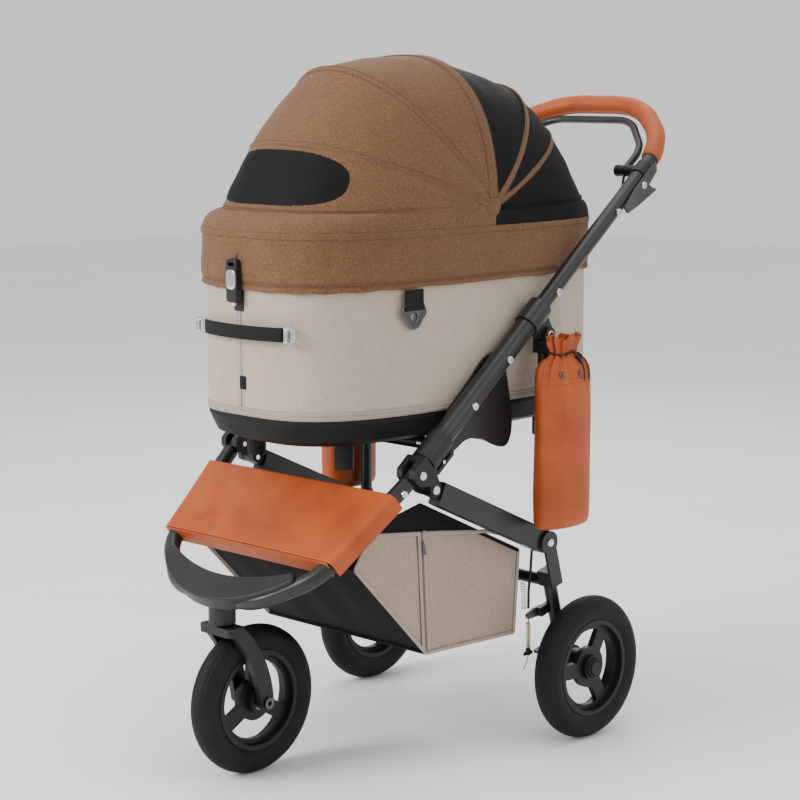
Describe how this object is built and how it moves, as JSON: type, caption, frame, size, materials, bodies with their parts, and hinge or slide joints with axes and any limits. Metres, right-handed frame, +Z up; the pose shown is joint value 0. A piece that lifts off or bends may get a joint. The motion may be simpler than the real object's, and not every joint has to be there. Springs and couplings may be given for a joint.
{
  "type": "pet stroller",
  "caption": "Three-wheeled pet stroller: folding frame, swivelling front wheel, lift-off cot with a folding dome hood, storage basket and bottle bags.",
  "frame": {"origin": "on the ground under the centre of the outside box", "axes": "+X to the right of the stroller, -Y to the front wheel, +Y to the handle, +Z up"},
  "size_m": [0.5496, 0.9614, 1.1077],
  "materials": {
    "satin_tube": "satin dark coat",
    "moulded": "fine grain",
    "bright": "polished",
    "satin_steel": "satin",
    "tyre": "treaded",
    "rim": "matte",
    "tan_leather": "fine grain",
    "hood_fabric": "heathered brown",
    "cot_fabric": "linen weave, greige",
    "basket_fabric": "woven beige and black",
    "mesh": "open knitted mesh",
    "cable": "smooth",
    "webbing": "ribbed"
  },
  "bodies": {
    "frame": {"handle_tube": "satin_tube", "handle_grip": "tan_leather", "sleeve_tubes": "satin_tube", "knuckles": "moulded", "side_rails": "satin_tube", "struts": "satin_tube", "upper_brackets": "satin_tube", "cradle_plates": "satin_tube", "cradle_tubes": "satin_tube", "cradle_rings": "bright", "frame_bolts": "bright", "hinge_pins": "bright", "brake_housings": "moulded", "upper_brake_cables": "cable", "bottle_bags": "tan_leather", "bag_cord_locks": "moulded", "storage_basket": "basket_fabric"},
    "front_frame": {"front_loop": "satin_tube", "steering_head": "moulded", "foot_step": "moulded", "front_cover": "tan_leather"},
    "fork": {"fork": "moulded", "front_axle": "satin_steel"},
    "front_wheel": {"front_tyre": "tyre", "front_rim": "rim", "front_bearings": "satin_steel"},
    "rear_frame": {"rear_legs": "satin_tube", "rear_axles": "satin_steel", "brake_springs": "bright", "lower_brake_cables": "cable"},
    "brake_arms": {"brake_arms": "satin_steel"},
    "rear_wheel_left": {"rear_tyre_left": "tyre", "rear_rim_left": "rim", "rear_hub_cap_left": "rim", "rear_bearings_left": "satin_steel"},
    "rear_wheel_right": {"rear_tyre_right": "tyre", "rear_rim_right": "rim", "rear_hub_cap_right": "rim", "rear_bearings_right": "satin_steel"},
    "lock_collars": {"lock_collars": "moulded"},
    "fold_triggers": {"fold_triggers": "satin_steel"},
    "brake_bar": {"brake_bar": "satin_tube"},
    "cot": {"cot_tray": "moulded", "cot_wall": "cot_fabric", "hood_skirt": "hood_fabric", "carry_strap": "webbing", "strap_clasps": "bright", "front_buckle": "moulded", "ring_tabs": "cot_fabric", "centre_bow": "satin_tube", "hood_pivots": "moulded", "middle_panel": "hood_fabric", "rear_mesh_panel": "mesh"},
    "hood_front_bow": {"front_bow": "satin_tube"},
    "hood_front_lip": {"front_lip_bow": "satin_tube", "front_panel": "hood_fabric"},
    "hood_rear_bow": {"rear_bow": "satin_tube"},
    "hood_rear_lip": {"rear_lip_bow": "satin_tube"},
    "d_ring_left": {"d_ring_left": "bright"},
    "d_ring_right": {"d_ring_right": "bright"}
  },
  "joints": [
    {"name": "frame_fold", "type": "hinge", "parent": "frame", "child": "front_frame", "pos_m": [0, -0.2112, 0.479], "axis": [1, 0, 0], "range_deg": [0, 48], "deforming": ["storage_basket"]},
    {"name": "caster_swivel", "type": "hinge", "parent": "front_frame", "child": "fork", "pos_m": [0, -0.4224, 0.26], "axis": [0, 0, 1], "continuous": true},
    {"name": "front_wheel_spin", "type": "hinge", "parent": "fork", "child": "front_wheel", "pos_m": [0, -0.3631, 0.1176], "axis": [1, 0, 0], "continuous": true},
    {"name": "rear_leg_fold", "type": "hinge", "parent": "frame", "child": "rear_frame", "pos_m": [0, 0.087, 0.3293], "axis": [1, 0, 0], "range_deg": [-75, 0]},
    {"name": "rear_wheel_left_spin", "type": "hinge", "parent": "rear_frame", "child": "rear_wheel_left", "pos_m": [-0.2525, 0.1456, 0.1176], "axis": [1, 0, 0], "continuous": true},
    {"name": "rear_wheel_right_spin", "type": "hinge", "parent": "rear_frame", "child": "rear_wheel_right", "pos_m": [0.2525, 0.1456, 0.1176], "axis": [1, 0, 0], "continuous": true},
    {"name": "brake_squeeze", "type": "hinge", "parent": "frame", "child": "brake_bar", "pos_m": [0, 0.33203, 0.92047], "axis": [1, 0, 0], "range_deg": [0, 9], "stiffness_Nm_per_rad": 3, "springref_deg": -2.86},
    {"name": "brake_arm_pull", "type": "hinge", "parent": "rear_frame", "child": "brake_arms", "pos_m": [0, 0.09728, 0.20971], "axis": [1, 0, 0], "range_deg": [-8, 0]},
    {"name": "fold_trigger_squeeze", "type": "hinge", "parent": "frame", "child": "fold_triggers", "pos_m": [0, 0.31205, 0.89908], "axis": [1, 0, 0], "range_deg": [0, 12], "stiffness_Nm_per_rad": 1.5, "springref_deg": -5.73},
    {"name": "lock_collar_slide", "type": "slide", "parent": "frame", "child": "lock_collars", "axis": [0, 0.776, 0.6307], "range_m": [0, 0.012]},
    {"name": "cot_lift", "type": "slide", "parent": "frame", "child": "cot", "axis": [0, 0, 1], "range_m": [0, 0.08]},
    {"name": "hood_front_fold", "type": "hinge", "parent": "cot", "child": "hood_front_bow", "pos_m": [0, -0.0154, 0.875], "axis": [-1, 0, 0], "range_deg": [0, 27]},
    {"name": "hood_front_lip_fold", "type": "hinge", "parent": "hood_front_bow", "child": "hood_front_lip", "pos_m": [0, -0.0154, 0.875], "axis": [-1, 0, 0], "range_deg": [0, 36], "deforming": ["front_panel"]},
    {"name": "hood_rear_fold", "type": "hinge", "parent": "cot", "child": "hood_rear_bow", "pos_m": [0, -0.0154, 0.875], "axis": [1, 0, 0], "range_deg": [0, 38], "deforming": ["rear_mesh_panel", "middle_panel"]},
    {"name": "hood_rear_lip_fold", "type": "hinge", "parent": "hood_rear_bow", "child": "hood_rear_lip", "pos_m": [0, -0.0154, 0.875], "axis": [1, 0, 0], "range_deg": [0, 28]},
    {"name": "d_ring_left_swing", "type": "hinge", "parent": "cot", "child": "d_ring_left", "pos_m": [-0.1807, -0.1894, 0.73], "axis": [0, 1, 0], "range_deg": [0, 80]},
    {"name": "d_ring_right_swing", "type": "hinge", "parent": "cot", "child": "d_ring_right", "pos_m": [0.1807, -0.1894, 0.73], "axis": [0, -1, 0], "range_deg": [0, 80]}
  ],
  "couplings": [
    {"joint": "rear_leg_fold", "follows": "frame_fold", "ratio": -1.5624},
    {"joint": "brake_arm_pull", "follows": "brake_squeeze", "ratio": -0.8888},
    {"joint": "lock_collar_slide", "follows": "fold_trigger_squeeze", "m_per_rad": 0.0477},
    {"joint": "hood_front_lip_fold", "follows": "hood_front_fold", "ratio": 1.3333},
    {"joint": "hood_rear_lip_fold", "follows": "hood_rear_fold", "ratio": 0.7368}
  ]
}
